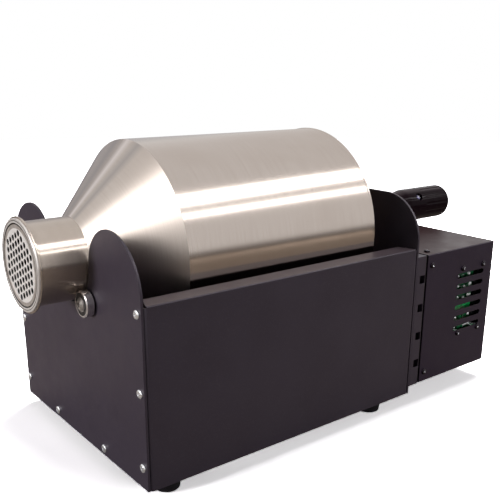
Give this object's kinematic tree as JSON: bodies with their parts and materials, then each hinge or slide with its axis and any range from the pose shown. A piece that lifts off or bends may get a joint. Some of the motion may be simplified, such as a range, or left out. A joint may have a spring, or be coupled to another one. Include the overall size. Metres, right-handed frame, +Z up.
{
  "type": "home coffee bean roaster",
  "caption": "Countertop coffee roaster: a stainless drum with a meshed mouth and long handle turns over heaters in a folded steel trough, geared to a motor in the slotted control box.",
  "frame": {"origin": "on the table, under the middle of the whole machine", "axes": "+X along the drum from the mouth towards the handle, +Y from the front panel to the back panel, +Z up"},
  "size_m": [0.5134, 0.2376, 0.2651],
  "materials": {
    "dark_paint": "satin",
    "nickel": "satin",
    "rubber": "matt",
    "seal_rubber": "matt",
    "aluminium_sheet": "bright",
    "cast_aluminium": "satin",
    "black_aluminium": "satin",
    "stainless": "brushed",
    "polished_steel": "polished",
    "black_steel": "satin",
    "quartz": "gloss",
    "ceramic": "matt",
    "gear_brass": "satin",
    "black_plastic": "satin",
    "gloss_black": "gloss",
    "board_green": "satin",
    "component_grey": "satin"
  },
  "bodies": {
    "base": {"left_end_plate": "dark_paint", "right_end_plate": "dark_paint", "front_panel": "dark_paint", "back_panel": "dark_paint", "floor_plate": "dark_paint", "base_screws": "nickel", "rubber_feet": "rubber", "heat_reflector": "aluminium_sheet", "heater_tubes": "quartz", "heater_ceramic_ends": "ceramic", "heater_brackets": "aluminium_sheet", "thermal_cutout": "aluminium_sheet", "support_bearing_cores": "polished_steel", "support_bearing_spacers": "nickel", "support_axle_bolts": "nickel", "support_axle_nuts": "nickel", "motor_shaft_bush": "gear_brass", "gearbox": "cast_aluminium", "motor_can": "nickel", "spacer_frame": "dark_paint", "control_back": "dark_paint", "control_cover": "dark_paint", "small_screws": "black_steel", "box_bolts": "nickel", "circuit_board": "board_green", "board_standoffs": "gear_brass", "board_heat_sink": "black_aluminium", "board_components": "component_grey", "heat_control": "black_plastic", "switch_housing": "black_plastic", "power_inlet": "black_plastic", "inlet_pins": "gear_brass"},
    "carrier": {"bearing_collar": "cast_aluminium", "shaft_bearing_outer_ring": "polished_steel", "shaft_bearing_seal": "seal_rubber"},
    "drum": {"drum_cylinder": "stainless", "drum_cone": "stainless", "drum_neck": "stainless", "drum_end_disc": "stainless", "mixing_vanes": "stainless", "drum_shaft": "polished_steel", "shaft_hub": "cast_aluminium", "hub_screws": "nickel", "drum_gear": "gear_brass", "shaft_bearing_inner_ring": "polished_steel", "shaft_stop_collar": "nickel", "handle_grip": "black_plastic", "handle_screw": "nickel"},
    "cap": {"mouth_cap": "stainless", "mouth_mesh": "stainless"},
    "front_roller": {"front_bearing_ring": "polished_steel", "front_bearing_seal": "seal_rubber"},
    "rear_roller": {"rear_bearing_ring": "polished_steel", "rear_bearing_seal": "seal_rubber"},
    "pinion": {"motor_pinion": "gear_brass", "motor_shaft": "polished_steel"},
    "knob": {"heat_knob": "black_plastic", "heat_spindle": "cast_aluminium"},
    "rocker": {"switch_rocker": "gloss_black"}
  },
  "joints": [
    {"name": "drum_lift", "type": "slide", "parent": "base", "child": "carrier", "axis": [0, 0, 1], "range_m": [0, 0.2]},
    {"name": "drum_spin", "type": "hinge", "parent": "carrier", "child": "drum", "pos_m": [0.0757, 0, 0.1723], "axis": [1, 0, 0], "continuous": true},
    {"name": "cap_pull", "type": "slide", "parent": "drum", "child": "cap", "axis": [-1, 0, 0], "range_m": [0, 0.06]},
    {"name": "front_roller_spin", "type": "hinge", "parent": "base", "child": "front_roller", "pos_m": [-0.2199, -0.0345, 0.14294], "axis": [1, 0, 0], "continuous": true},
    {"name": "rear_roller_spin", "type": "hinge", "parent": "base", "child": "rear_roller", "pos_m": [-0.2199, 0.0345, 0.14294], "axis": [1, 0, 0], "continuous": true},
    {"name": "motor_spin", "type": "hinge", "parent": "base", "child": "pinion", "pos_m": [0.0617, 0, 0.1183], "axis": [1, 0, 0], "continuous": true},
    {"name": "knob_turn", "type": "hinge", "parent": "base", "child": "knob", "pos_m": [0.2027, -0.042, 0.1], "axis": [1, 0, 0], "range_deg": [-270, 0]},
    {"name": "switch_rock", "type": "hinge", "parent": "base", "child": "rocker", "pos_m": [0.1997, 0.03, 0.1], "axis": [0, 1, 0], "range_deg": [-20, 0]}
  ],
  "couplings": [
    {"joint": "front_roller_spin", "follows": "drum_spin", "ratio": -3.0909},
    {"joint": "rear_roller_spin", "follows": "drum_spin", "ratio": -3.0909},
    {"joint": "motor_spin", "follows": "drum_spin", "ratio": -3}
  ]
}
